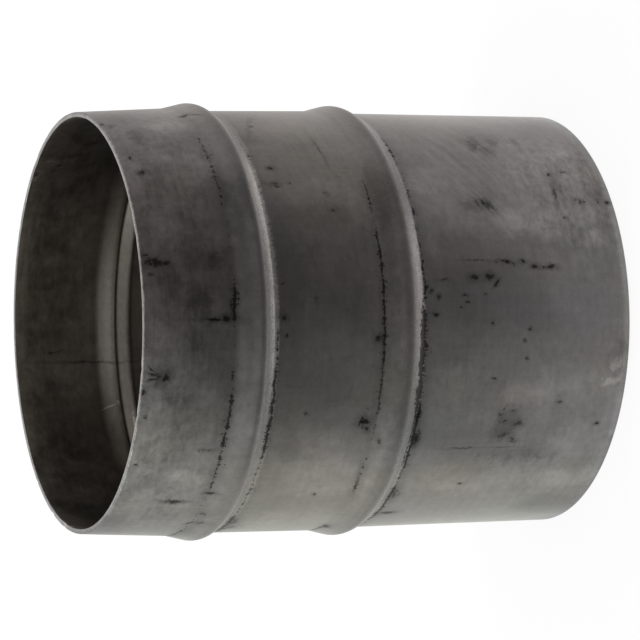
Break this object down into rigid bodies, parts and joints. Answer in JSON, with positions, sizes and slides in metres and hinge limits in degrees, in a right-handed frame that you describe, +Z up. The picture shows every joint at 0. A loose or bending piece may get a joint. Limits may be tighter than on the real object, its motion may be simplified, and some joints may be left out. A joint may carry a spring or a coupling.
{
  "type": "hose tail",
  "caption": "Short thin-walled metal tube with rolled hose-retaining beads near its slightly drawn-in mouth and a plain square-cut end for welding.",
  "frame": {"origin": "centre of the weld-end face, on the surface the tail stands on", "axes": "+Z up the tube's axis from the weld end to the hose mouth; the tube is round, so +X and +Y are free"},
  "size_m": [0.1314, 0.1314, 0.152],
  "materials": {
    "dull_steel": "dull dark mill finish, oily and smudged, with black dirt in the bead roots and fine scratches"
  },
  "bodies": {
    "root": {"hose_tail": "dull_steel"}
  },
  "joints": []
}
